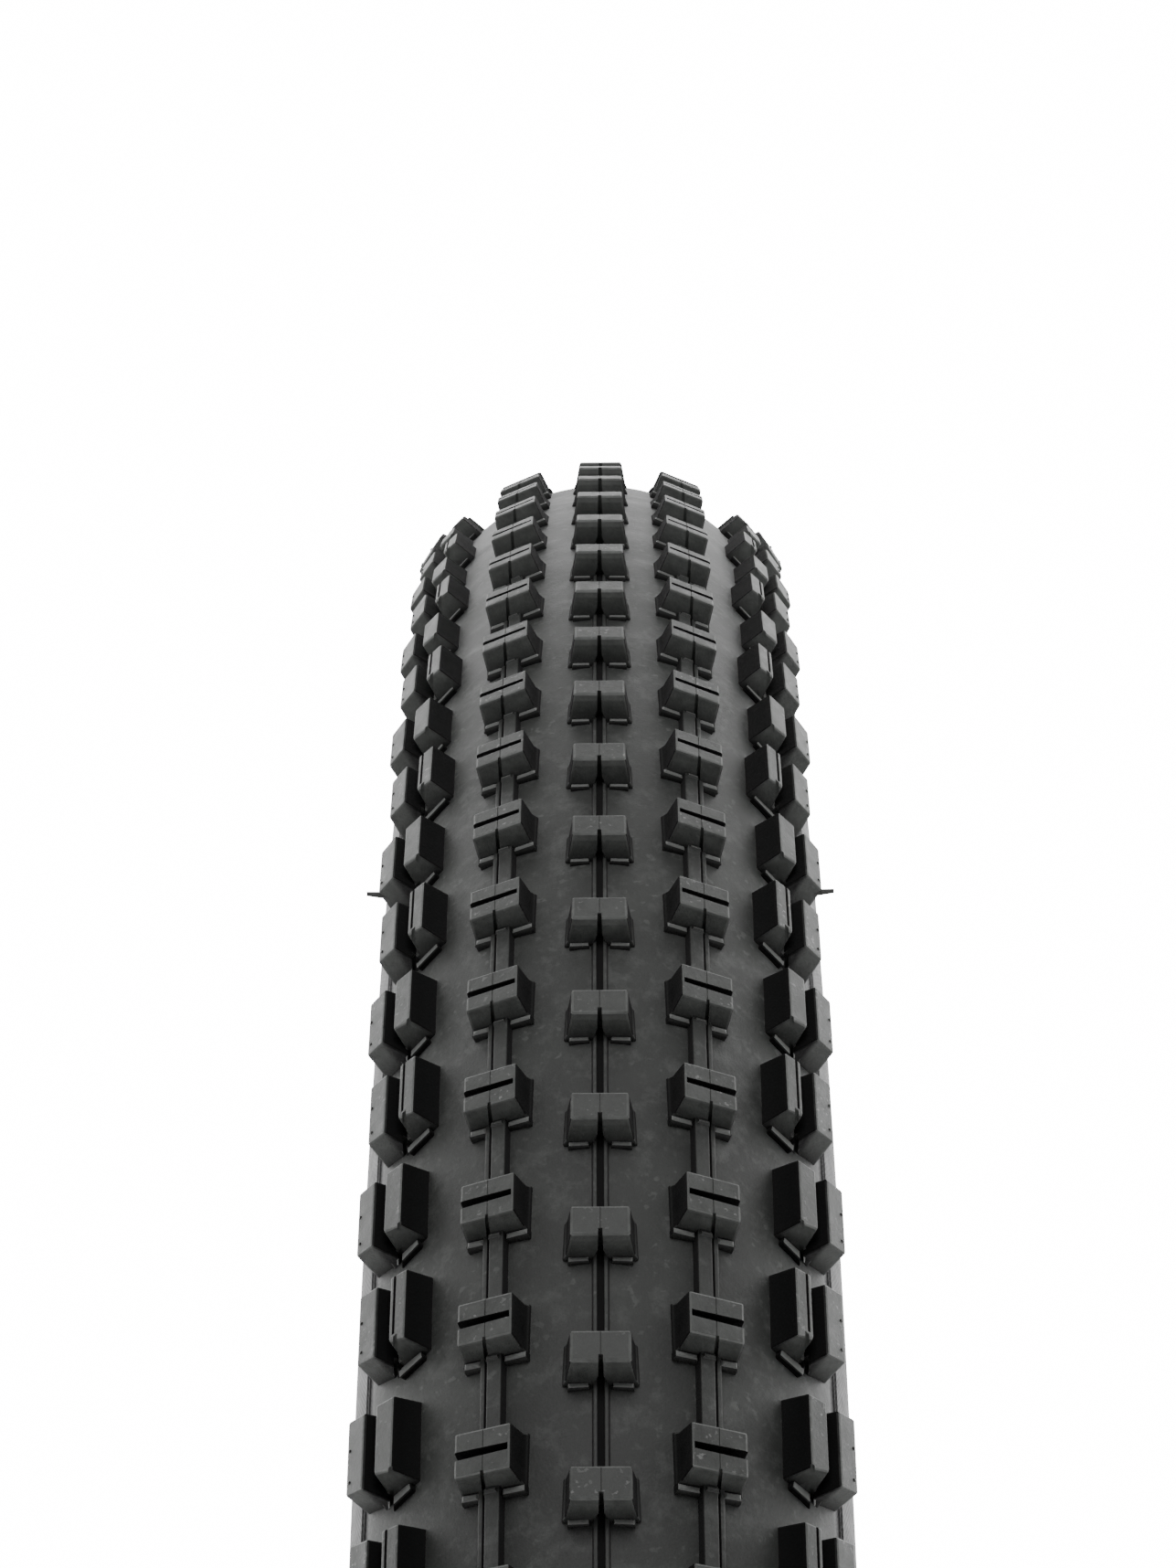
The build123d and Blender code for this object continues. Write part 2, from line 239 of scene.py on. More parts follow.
def turned_copies(shell, count, lead, side=1):
    """Copies of a shell set out evenly round the tyre, from a place ahead of the top, on one side."""
    verts, faces = shell
    points = np.asarray(verts, float) * (1, side, 1)
    sides = faces if side > 0 else [face[::-1] for face in faces]
    all_points, all_faces = [], []
    for step in range(count):
        turn = lead / TREAD_RADIUS + 2 * pi * step / count
        x = points[:, 0] * cos(turn) + points[:, 2] * sin(turn)
        z = points[:, 2] * cos(turn) - points[:, 0] * sin(turn)
        all_points.append(np.stack([x, points[:, 1], z], axis=1))
        start = step * len(points)
        all_faces.extend([[start + i for i in face] for face in sides])
    return np.concatenate(all_points), all_faces


def ring(name, profile):
    """Closed ring of a closed section, given as (across, radius) points, turned about the axle."""
    count = len(profile)
    turns = np.linspace(0, 2 * pi, RING_STEPS, endpoint=False)
    section = np.asarray(profile, float)
    verts = np.stack(
        [
            np.outer(np.sin(turns), section[:, 1]),
            np.tile(section[:, 0], (RING_STEPS, 1)),
            np.outer(np.cos(turns), section[:, 1]),
        ],
        axis=2,
    ).reshape(-1, 3)
    faces = []
    for step in range(RING_STEPS):
        here = step * count
        there = (step + 1) % RING_STEPS * count
        for i in range(count):
            j = (i + 1) % count
            faces.append([here + i, here + j, there + j, there + i])
    return new_object(name, verts, faces)


def arc(centre, radius, start, stop, steps):
    """Points of an arc in the section plane, between two angles from the crown."""
    return [
        (centre[0] + radius * sin(a), centre[1] + radius * cos(a))
        for a in np.radians(np.linspace(start, stop, steps))
    ]


# ---------------------------------------------------------------- knobs
# Those on the crown and beside it are built flat, as (round the tyre, across, up), and stood on the tread;
# those on the shoulder are built in place, at the top of the tyre


def quad(points, up):
    """Outline at one height from four (round the tyre, across) corners."""
    return [(u, v, up) for u, v in points]


def even_quad(back, front, back_half, front_half, up):
    """Outline at one height, as wide on the left as on the right, from its ends and half widths."""
    return quad([(back, back_half), (front, front_half), (front, -front_half), (back, -back_half)], up)


def bar(ends, half_width, height):
    """Low rounded bar between two (round the tyre, across) points, for the lips along the knobs' feet."""
    start, stop = np.array(ends[0], float), np.array(ends[1], float)
    along = (stop - start) / np.linalg.norm(stop - start)
    aside = np.array([along[1], -along[0]])
    levels = []
    for grow, rise in ((0.35, 1.0), (0.75, 0.8), (0.97, 0.4), (1.0, -SINK / height)):
        reach, wide = half_width * (grow - 1.0), half_width * grow
        near, far = start - along * reach, stop + along * reach
        corners = [near + aside * wide, far + aside * wide, far - aside * wide, near - aside * wide]
        levels.append(quad([tuple(corner) for corner in corners], height * rise))
    return stack(levels)


def round_outline(middle, aside, radius):
    """Eight points round a middle, in the plane of the rolling direction and a step aside."""
    ahead = np.array([1.0, 0.0, 0.0])
    turns = np.arange(8) * pi / 4
    return [tuple(middle + (ahead * cos(turn) + aside * sin(turn)) * radius) for turn in turns]


def centre_knob():
    """Braking block with flared feet, a slit and a notch in its front, a mould line and two lips."""
    high = KNOB_TOP - TREAD_RADIUS
    block = stack([
        even_quad(-2.15, 2.15, 3.58, 3.58, high),
        even_quad(-2.3, 2.55, 3.7, 3.78, high - 1.0),
        even_quad(-2.55, 2.68, 3.95, 4.08, 1.5),
        even_quad(-2.75, 2.75, 4.1, 4.25, 0.6),
        even_quad(-2.95, 2.85, 4.3, 4.5, 0.1),
        even_quad(-3.1, 2.9, 4.45, 4.7, -SINK),
    ])
    slit = stack([
        even_quad(1.3, 4.5, 0.26, 0.28, high + 0.2),
        even_quad(0.7, 4.5, 0.32, 0.4, 0.9),
        even_quad(0.6, 4.5, 0.5, 0.55, -SINK - 0.2),
    ])
    notch = stack([
        even_quad(1.9, 4.5, 0.35, 0.45, 1.6),
        even_quad(1.3, 4.5, 1.1, 1.25, -SINK - 0.2),
    ])
    mould_line = stack([
        even_quad(-4, 4, 0.11, 0.11, high + 0.1),
        even_quad(-4, 4, 0.03, 0.03, high - 0.06),
    ])
    lips = [bar([(3.0, side * 1.35), (3.15, side * 3.95)], 0.42, 0.55) for side in BOTH]
    return joined([carved(block, [slit, notch, mould_line], 0.3), *lips])


def transition_knob():
    """Block with a slit across it, a split front wall, flared feet and lips along its front."""
    high = TRANSITION_HEIGHT
    block = stack([
        quad([(-3.2, 3.85), (2.9, 3.85), (2.95, -3.3), (-3.2, -3.3)], high),
        quad([(-3.5, 4.32), (3.08, 4.36), (3.32, -3.4), (-3.53, -3.52)], 0.9),
        quad([(-3.75, 4.6), (3.2, 4.7), (3.6, -3.65), (-3.8, -3.8)], 0.12),
        quad([(-4.0, 4.9), (3.3, 5.0), (3.8, -3.9), (-4.05, -4.05)], -SINK),
    ])
    slit = stack([
        quad([(-0.7, 6), (0.52, 6), (0.36, -3.05), (-0.58, -3.05)], high + 1),
        quad([(-0.65, 6), (0.47, 6), (0.32, -2.6), (-0.54, -2.6)], high - 3.4),
    ])
    split = stack([
        quad([(2.45, 0.4), (6, 0.42), (6, -0.02), (2.45, 0.0)], high + 0.2),
        quad([(2.3, 2.15), (6, 2.2), (6, 1.55), (2.3, 1.6)], -SINK - 0.2),
    ])
    mould_line = stack([
        quad([(-5, 0.34), (5, 0.34), (5, 0.06), (-5, 0.06)], high + 0.1),
        quad([(-5, 0.22), (5, 0.22), (5, 0.18), (-5, 0.18)], high - 0.08),
    ])
    return joined([
        carved(block, [slit, split, mould_line], 0.3),
        bar([(3.9, -3.85), (3.85, -0.85)], 0.5, 0.95),
        bar([(3.72, -0.6), (3.66, 1.35)], 0.42, 1.5),
        bar([(3.8, 1.95), (3.7, 4.35)], 0.58, 0.95),
    ])


def shoulder_block(edge_heights, top, foot):
    """Block sunk into the shoulder, from the heights of its inner and outer edge and its corners.

    Corners are (round the tyre, angle from the crown): back and front inside, then front and back outside.
    """
    inner, outer = edge_heights
    levels = []
    for corners, heights in ((top, (inner, inner, outer, outer)), (foot, (-SINK,) * 4)):
        levels.append([tuple(section_point(a, h) + (u, 0, 0)) for (u, a), h in zip(corners, heights)])
    return stack(levels)


def ridges(shift, extra_width):
    """Inner and outer ridge of a shoulder knob and the floor of the pocket between them."""
    inner, outer = 41.5 + shift, 46.0 + shift + extra_width
    outer_in, outer_out = 49.1 + shift, 55.3 + shift
    inner_ridge = shoulder_block(
        (INNER_RIDGE_HEIGHT, INNER_RIDGE_HEIGHT),
        [(-5.5, inner), (4.9, inner), (3.9, outer), (-5.6, outer)],
        [(-6.4, inner - 1.0), (4.9, inner - 1.3), (6.1, outer + 2.2), (-6.2, outer + 2.2)],
    )
    outer_ridge = shoulder_block(
        (OUTER_RIDGE_HEIGHT, OUTER_RIDGE_EDGE),
        [(-5.1, outer_in), (5.5, outer_in), (4.5, outer_out), (-5.9, outer_out)],
        [(-5.6, outer_in - 1.6), (6.3, outer_in - 1.6), (4.2, outer_out + 5), (-6.3, outer_out + 5)],
    )
    pocket_floor = shoulder_block(
        (POCKET_HEIGHT, POCKET_HEIGHT),
        [(-5.3, inner + 3), (4.8, inner + 3), (5.3, outer_in + 2), (-5.2, outer_in + 2)],
        [(-6.1, inner + 2), (5.6, inner + 2), (6.2, outer_in + 3), (-6.1, outer_in + 3)],
    )
    return inner_ridge, outer_ridge, pocket_floor


def parting_groove(back):
    """Cutter for the mould's parting groove in a shoulder knob's front, from a place on its top."""
    half = 0.24
    base = section_point(52.0, 0.0)[2]
    return stack([
        [(x, SHOULDER_PARTING + y, base + rise) for x, y in
         ((start, half), (9, half), (9, -half), (start, -half))]
        for start, rise in ((back, 6.5), (5.5, -0.5))
    ])


def sipe(angle):
    """Cutter for the thin sipe along the inner ridge, from its back to near its front wall."""
    middle = section_point(angle, INNER_RIDGE_HEIGHT)
    across, up = section_axes(angle)
    return stack([
        [tuple(middle + (u, 0, 0) + across * v + up * height) for u, v in
         ((-8, -half), (3.4, -half), (3.4, half), (-8, half))]
        for height, half in ((0.8, 0.22), (-2.6, 0.18))
    ])


def shoulder_lip(shift):
    """Lip along the foot of a shoulder knob's front wall."""
    corners = [(u, angle + shift) for u, angle in ((5.0, 42.0), (6.0, 41.6), (7.0, 48.8), (5.7, 49.2))]
    return shoulder_block((0.9, 0.9), corners, corners)


def pip(angle, along):
    """Small round nub left by an air vent, standing on a shoulder knob."""
    radius, height = 0.22, 0.16
    across, up = section_axes(angle)
    middle = section_point(angle, 4.5) + (along, 0, 0)
    return stack([
        round_outline(middle + up * rise, across, radius * grow)
        for grow, rise in ((0.35, height), (0.8, height * 0.75), (1.0, 0.0), (1.0, -0.2))
    ])


def shoulder_knob(shift, extra_width, siped):
    """Two ridges with a pocket between them, their front walls swept back outwards, and a lip."""
    inner_ridge, outer_ridge, pocket_floor = ridges(shift, extra_width)
    groove = parting_groove(3.6 if siped else 4.25)
    inner_cutters = [groove, sipe(44.7 + shift)] if siped else [groove]
    return joined([
        carved(inner_ridge, inner_cutters, 0.3),
        carved(outer_ridge, [groove], 0.3),
        carved(pocket_floor, [groove], 0.2),
        carved(shoulder_lip(shift), [groove], 0.26),
        pip(54.2 + shift, -1.4),
        pip(53.9 + shift, 3.1),
    ])


def thin_rib(length, top, foot, height, edge_round):
    """Rib round the tyre, from the places of its two edges at the top and at the foot."""
    levels = []
    for (first, last), up in ((top, height), (foot, -SINK)):
        levels.append(quad([(-length, first), (length, first), (length, last), (-length, last)], up))
    return carved(stack(levels), [], edge_round)


def centre_rib():
    """Two thin ribs on the sides of the parting groove, from one centre knob to the next."""
    length = PITCH / 2 - 1.9
    return joined([
        thin_rib(length, (side * 0.44, side * 0.84), (side * 0.36, side * 1.25), 0.5, 0.1)
        for side in BOTH
    ])


def transition_rib():
    """Low bar from one transition knob to the next, with the mould's groove along its outer edge."""
    length = PITCH / 2 - 3.0
    return joined([
        thin_rib(length, (1.15, -0.7), (1.3, -1.0), 1.2, 0.14),
        thin_rib(length, (2.1, 1.55), (2.7, 1.6), 0.8, 0.14),
    ])


def vent_hair():
    """Thin blunt hair of rubber standing straight out of the outer wall of a plain shoulder knob."""
    root = section_point(57.6, 3.4) + (4.2, 0, 0)
    out = np.array([0.0, 0.99, 0.1])
    up = np.array([0.0, 0.0, 1.0])
    return stack([
        round_outline(root + out * along, up, radius)
        for along, radius in ((2.5, 0.3), (1.7, 0.36), (0.9, 0.42), (-0.4, 0.48))
    ])


# ---------------------------------------------------------------- make the tread
def mould(shell, nodes, count, lead):
    """Objects for a row of knobs or ribs: one on the crown for one CAD node, left and right for two."""
    made = []
    for side, node in zip(BOTH, nodes):
        obj = new_object(f"moulded_{node}", *turned_copies(shell, count, lead, side), crisp=12)
        made.append(placed(obj, node))
    return made


def sides_of(node):
    """Names of a CAD node's left and right copies."""
    return [f"{node}_left", f"{node}_right"]


centre_knobs = mould(stood(centre_knob(), 0), ["centre_knobs"], KNOB_COUNT, 0)
centre_ribs = mould(stood(centre_rib(), 0), ["centre_tie_ribs"], KNOB_COUNT, PITCH / 2)
transition_knobs = mould(
    stood(transition_knob(), TRANSITION_ANGLE), sides_of("transition_knobs"), KNOB_COUNT, TRANSITION_LEAD
)
transition_ribs = mould(
    stood(transition_rib(), TRANSITION_ANGLE), sides_of("transition_tie_ribs"),
    KNOB_COUNT, TRANSITION_LEAD + PITCH / 2,
)
siped_knobs = mould(
    shoulder_knob(0, 0, True), sides_of("siped_shoulder_knobs"), KNOB_COUNT // 2, SHOULDER_LEAD
)
plain_knobs = mould(
    shoulder_knob(PLAIN_SHIFT, PLAIN_EXTRA_WIDTH, False), sides_of("plain_shoulder_knobs"),
    KNOB_COUNT // 2, SHOULDER_LEAD + PITCH,
)
side_hairs = [turned_copies(vent_hair(), HAIRS_A_SIDE, SHOULDER_LEAD - PITCH, side) for side in BOTH]
hairs = placed(new_object("moulded_vent_hairs", *joined(side_hairs)), "vent_hairs")


# ---------------------------------------------------------------- rings
def skin(offset, start, stop, steps):
    """Points down a side at a distance from the section centre, which may be a function of the angle.

    Past the widest angle the section turns about a centre further out. Negative angles are the right side.
    """
    points = []
    for angle in np.linspace(start, stop, steps):
        reach = offset(abs(angle)) if callable(offset) else offset
        shift = 0.0
        if abs(angle) > WIDEST_ANGLE:
            shift = copysign(SIDEWALL_INSET, angle)
            reach -= SIDEWALL_INSET
        y, z = direction(angle) * reach
        points.append((shift + y, SECTION_CENTRE + z))
    return points


def between(outer, inner, start, stop, outer_steps, inner_steps):
    """Closed section between two skins, out along the outer one and back along the inner one."""
    return skin(outer, start, stop, outer_steps) + skin(inner, stop, start, inner_steps)


def bump_at(angle, middle, half_width, height):
    """Height of a smooth ridge across a range of angles."""
    near = abs(angle - middle) / half_width
    return height * (0.5 + 0.5 * cos(pi * near)) if near < 1 else 0.0


def tread_surface(angle):
    """Outer face of the tread base, which thins towards its edge."""
    edge = max(0.0, min(1.0, (angle - UNDERTREAD_EDGE + EDGE_BLEND) / EDGE_BLEND))
    return UNDERTREAD - edge * edge * (UNDERTREAD - SIDEWALL - EDGE_STEP)


def sidewall_surface(angle):
    """Outer face of a sidewall with its moulded lines: two under the tread, one at the rim."""
    return SIDEWALL + sum(bump_at(angle, *line) for line in MOULDED_LINES)


def bead_place():
    """Angle of a bead from the crown, and the left bead's middle as (across, radius)."""
    reach = CASING + BEAD_WRAP - SIDEWALL_INSET
    radius = BEAD_SEAT + CHAFER_THICKNESS + CHAFER_WRAP
    angle = acos((radius - SECTION_CENTRE) / reach)
    return degrees(angle), (SIDEWALL_INSET + reach * sin(angle), radius)


def flange_curve(bead_angle):
    """Centre and radius of the arc that the chafer lies on, from the sidewall's edge to the bead."""
    start = CASING + BOND_GAP - SIDEWALL_INSET
    end = CASING + 2 * BEAD_WRAP - SIDEWALL_INSET
    span = cos(radians(bead_angle - TURN_UP_ANGLE))
    shift = (end**2 - start**2) / (2 * (start - end * span))
    y, z = direction(TURN_UP_ANGLE) * shift
    return (SIDEWALL_INSET - y, SECTION_CENTRE - z), start + shift + PLY_THICKNESS + BOND_GAP


def chafer_profile():
    """Section of the left chafer strip: down the flange, round heel and toe, and up inside the bead."""
    bead_angle, bead = bead_place()
    centre, inner = flange_curve(bead_angle)
    heel, toe = bead[0] + SEAT_HALF, bead[0] - SEAT_HALF
    tuck = 329.6
    flange = arc(centre, inner + CHAFER_THICKNESS, TURN_UP_ANGLE, 134.0, 40)
    seat = [
        (heel, BEAD_SEAT + 0.9), (heel - 0.25, BEAD_SEAT + 0.28), (heel - 0.8, BEAD_SEAT),
        (toe + 0.7, BEAD_SEAT), (toe + 0.2, BEAD_SEAT + 0.2), (toe, BEAD_SEAT + 0.8),
    ]
    inside = arc(bead, CHAFER_WRAP + CHAFER_THICKNESS, 275, tuck, 10)
    back = arc(bead, CHAFER_WRAP, tuck, 137, 24) + arc(centre, inner, 136.0, TURN_UP_ANGLE, 30)
    return (flange + seat + inside + back)[::-1]


def side_ring(name, profile, node):
    """Left and right rings of one section, standing for their CAD nodes."""
    rings = []
    for side, word in zip(BOTH, ("left", "right")):
        points = [(side * y, z) for y, z in profile]
        rings.append(placed(ring(f"{name}_{word}", points[::side]), f"{node}_{word}"))
    return rings


# ---------------------------------------------------------------- make the rings
tread_section = between(tread_surface, UNDERTREAD_INNER, UNDERTREAD_EDGE, -UNDERTREAD_EDGE, 127, 64)
tread_base = placed(ring("tread_base", tread_section), "undertread")
sidewall_section = between(
    sidewall_surface, SIDEWALL_INNER, TURN_UP_ANGLE, UNDERTREAD_EDGE + EDGE_GAP, 165, 40
)
sidewalls = side_ring("sidewall", sidewall_section, "sidewall_skin")
chafers = side_ring("bead_chafer", chafer_profile(), "chafer")
liner_section = between(LINER_INNER + LINER_THICKNESS, LINER_INNER, LINER_EDGE, -LINER_EDGE, 140, 140)
liner = placed(ring("liner_film", liner_section), "inner_liner")


# ---------------------------------------------------------------- materials
def new_material(name):
    """Material with a single shader, given with its node tree and that shader."""
    material = bpy.data.materials.new(name)
    material.use_nodes = True
    tree = material.node_tree
    tree.nodes.clear()
    shader = tree.nodes.new("ShaderNodeBsdfPrincipled")
    output = tree.nodes.new("ShaderNodeOutputMaterial")
    tree.links.new(shader.outputs["BSDF"], output.inputs["Surface"])
    return material, tree, shader


def math_node(tree, operation, first, second=None, third=None):
    """Arithmetic on sockets or numbers."""
    node = tree.nodes.new("ShaderNodeMath")
    node.operation = operation
    for socket, value in zip(node.inputs, (first, second, third)):
        if value is None:
            continue
        if isinstance(value, (int, float)):
            socket.default_value = value
        else:
            tree.links.new(value, socket)
    return node.outputs["Value"]


def noise(tree, size, detail, roughness):
    """Noise with features of a size in millimetres, from the object's own coordinates."""
    coordinates = tree.nodes.new("ShaderNodeTexCoord")
    node = tree.nodes.new("ShaderNodeTexNoise")
    node.inputs["Scale"].default_value = 1 / (size * MM)
    node.inputs["Detail"].default_value = detail
    node.inputs["Roughness"].default_value = roughness
    tree.links.new(coordinates.outputs["Object"], node.inputs["Vector"])
    return node.outputs["Fac"]


def ramp(tree, factor, stops):
    """Colours along a factor, as (place, grey or colour) stops."""
    node = tree.nodes.new("ShaderNodeValToRGB")
    elements = node.color_ramp.elements
    while len(elements) < len(stops):
        elements.new(0.5)
    for element, (place, colour) in zip(elements, stops):
        element.position = place
        element.color = (*colour, 1.0) if isinstance(colour, tuple) else (colour, colour, colour, 1.0)
    tree.links.new(factor, node.inputs["Fac"])
    return node.outputs["Color"]


def blended(tree, factor, first, second):
    """Two colours mixed by a factor."""
    node = tree.nodes.new("ShaderNodeMix")
    node.data_type = "RGBA"
    inputs = [socket for socket in node.inputs if socket.type == "RGBA"]
    factor_input = next(socket for socket in node.inputs if socket.type == "VALUE")
    for socket, value in ((factor_input, factor), (inputs[0], first), (inputs[1], second)):
        if isinstance(value, tuple):
            socket.default_value = (*value, 1.0)
        else:
            tree.links.new(value, socket)
    return next(socket for socket in node.outputs if socket.type == "RGBA")


def set_look(tree, shader, colour, roughness):
    """Base colour and roughness of a shader, from sockets."""
    tree.links.new(colour, shader.inputs["Base Color"])
    tree.links.new(roughness, shader.inputs["Roughness"])


def bumped(tree, shader, heights):
    """Bump from several (height socket, depth in millimetres) layers, one over the other."""
    normal = None
    for height, depth in heights:
        node = tree.nodes.new("ShaderNodeBump")
        node.inputs["Strength"].default_value = 1.0
        node.inputs["Distance"].default_value = depth * MM
        tree.links.new(height, node.inputs["Height"])
        if normal:
            tree.links.new(normal, node.inputs["Normal"])
        normal = node.outputs["Normal"]
    tree.links.new(normal, shader.inputs["Normal"])


def object_axes(tree):
    """Place of a point along the object's own x, y and z, in metres."""
    coordinates = tree.nodes.new("ShaderNodeTexCoord")
    split = tree.nodes.new("ShaderNodeSeparateXYZ")
    tree.links.new(coordinates.outputs["Object"], split.inputs["Vector"])
    return [split.outputs[axis] for axis in "XYZ"]


def products(tree, first, second, third, fourth):
    """The first socket times the second, plus the third times the fourth."""
    return math_node(tree, "MULTIPLY_ADD", first, second, math_node(tree, "MULTIPLY", third, fourth))


def distance(tree, first, second):
    """Length of the straight line over two steps at right angles."""
    return math_node(tree, "SQRT", products(tree, first, first, second, second))


def tyre_coordinates(tree):
    """Distances in metres round the tyre, out from the axle and across it."""
    x, y, z = object_axes(tree)
    turn = math_node(tree, "ARCTAN2", x, z)
    around = math_node(tree, "MULTIPLY", turn, SECTION_CENTRE * MM)
    return around, distance(tree, x, z), math_node(tree, "ABSOLUTE", y)


def threads(tree, along, pitch):
    """Height of parallel threads that follow one another along a distance."""
    phase = math_node(tree, "MULTIPLY", along, 2 * pi / (pitch * MM))
    return math_node(tree, "MULTIPLY_ADD", math_node(tree, "SINE", phase), 0.5, 0.5)


def facing_out(tree):
    """How squarely a face looks out of the tread, how far across it, and its rise above the tread base."""
    x, y, z = object_axes(tree)
    geometry = tree.nodes.new("ShaderNodeNewGeometry")
    facing = tree.nodes.new("ShaderNodeSeparateXYZ")
    tree.links.new(geometry.outputs["Normal"], facing.inputs["Vector"])
    nx, ny, nz = (facing.outputs[axis] for axis in "XYZ")
    radius = distance(tree, x, z)
    outwards = math_node(tree, "DIVIDE", products(tree, nx, x, nz, z), radius)
    height = math_node(tree, "SUBTRACT", radius, SECTION_CENTRE * MM)
    reach = distance(tree, y, height)
    squarely = products(tree, height, outwards, y, ny)
    turned = math_node(tree, "MULTIPLY", y, outwards)
    across = math_node(tree, "SUBTRACT", math_node(tree, "MULTIPLY", height, ny), turned)
    sideways = math_node(tree, "ABSOLUTE", math_node(tree, "DIVIDE", across, reach))
    rise = math_node(tree, "SUBTRACT", reach, UNDERTREAD * MM)
    return math_node(tree, "DIVIDE", squarely, reach), sideways, rise


def slit_walls(tree, facing):
    """Where the walls of the slits across the transition knobs are, from the place within one pitch."""
    x, _, z = object_axes(tree)
    turn = math_node(tree, "ARCTAN2", x, z)
    pitches = math_node(tree, "MULTIPLY_ADD", turn, KNOB_COUNT / (2 * pi), 0.5 - TRANSITION_LEAD / PITCH)
    from_slit = math_node(tree, "SUBTRACT", math_node(tree, "FRACT", pitches), 0.5)
    near = ramp(tree, math_node(tree, "ABSOLUTE", from_slit), [(0.06, 1.0), (0.075, 0.0)])
    return math_node(tree, "MULTIPLY", near, ramp(tree, facing, [(0.3, 1.0), (0.5, 0.0)]))


def specks(tree, size, area):
    """Scattered light specks, gathered in areas: dust, and on the knob tops also painted glints."""
    spots = ramp(tree, noise(tree, size, 2.0, 0.5), [(0.62, 0.0), (0.7, 1.0)])
    areas = ramp(tree, noise(tree, area, 3.0, 0.6), [(0.42, 0.0), (0.62, 0.8)])
    return math_node(tree, "MULTIPLY", spots, areas)


def knob_rubber():
    """Matt charcoal compound: tops lighter and mottled with pale specks, walls darkened with painted shade,
    painted highlights on the lips and the top edges.
    """
    material, tree, shader = new_material("tread_rubber")
    facing, sideways, rise = facing_out(tree)
    share = math_node(tree, "MULTIPLY", rise, 1 / (TRANSITION_HEIGHT * MM))
    lumps = noise(tree, 2.6, 4.0, 0.6)
    clouds = noise(tree, 16.0, 6.0, 0.65)
    base = ramp(tree, clouds, [(0.3, (0.074, 0.077, 0.074)), (0.7, (0.099, 0.103, 0.099))])
    mottled = blended(tree, ramp(tree, lumps, [(0.35, 0.0), (0.75, 0.6)]), base, (0.150, 0.155, 0.150))
    # Pale specks on the knob tops: dust, made bright enough to be a painted highlight of glints as well
    specked = blended(tree, specks(tree, 0.8, 9.0), mottled, (0.28, 0.285, 0.28))

    wall = ramp(tree, lumps, [(0.3, (0.085, 0.089, 0.085)), (0.75, (0.14, 0.146, 0.14))])
    # Painted shade: faces turned across the tread are darkened nearly to black
    across = ramp(tree, sideways, [(0.45, 0.0), (0.75, 1.0)])
    wall = blended(tree, across, wall, (0.005, 0.005, 0.005))
    # Painted shade: the walls darken towards their foot
    foot = ramp(tree, share, [(0.0, 0.85), (0.7, 0.0)])
    wall = blended(tree, foot, wall, (0.012, 0.012, 0.012))
    # Painted shade: the walls of the slits across the transition knobs are made black
    wall = blended(tree, slit_walls(tree, facing), wall, (0.004, 0.004, 0.004))
    wear_and_painted_light = blended(tree, ramp(tree, facing, [(0.7, 0.0), (0.92, 1.0)]), wall, specked)

    # Painted highlight: low faces that look out of the tread, the lips along the knobs' feet, are made pale
    low = ramp(tree, share, [(0.05, 0.0), (0.09, 0.95), (0.33, 0.95), (0.4, 0.0)])
    lips = math_node(tree, "MULTIPLY", ramp(tree, facing, [(0.45, 0.0), (0.7, 1.0)]), low)
    wear_and_painted_light = blended(tree, lips, wear_and_painted_light, (0.22, 0.227, 0.22))
    # Painted highlight: the rounded rims round the knob tops are made pale, in patches
    rims = ramp(tree, facing, [(0.5, 0.0), (0.62, 1.0), (0.92, 1.0), (0.98, 0.0)])
    edges = math_node(tree, "MULTIPLY", rims, ramp(tree, share, [(0.4, 0.0), (0.7, 1.0)]))
    patches = ramp(tree, noise(tree, 3.5, 4.0, 0.6), [(0.3, 0.2), (0.65, 1.0)])
    wear_and_painted_light = blended(tree, math_node(tree, "MULTIPLY", edges, patches), wear_and_painted_light, (0.21, 0.217, 0.21))

    sheen = ramp(tree, lumps, [(0.3, 0.46), (0.7, 0.64)])
    dull = math_node(tree, "MULTIPLY", across, 0.95)
    set_look(tree, shader, wear_and_painted_light, math_node(tree, "MAXIMUM", sheen, dull))
    shader.inputs["Specular IOR Level"].default_value = 0.3
    grain = noise(tree, 0.45, 4.0, 0.65)
    bumped(tree, shader, [(noise(tree, 5.0, 3.0, 0.5), 0.10), (lumps, 0.10), (grain, 0.06)])
    return material


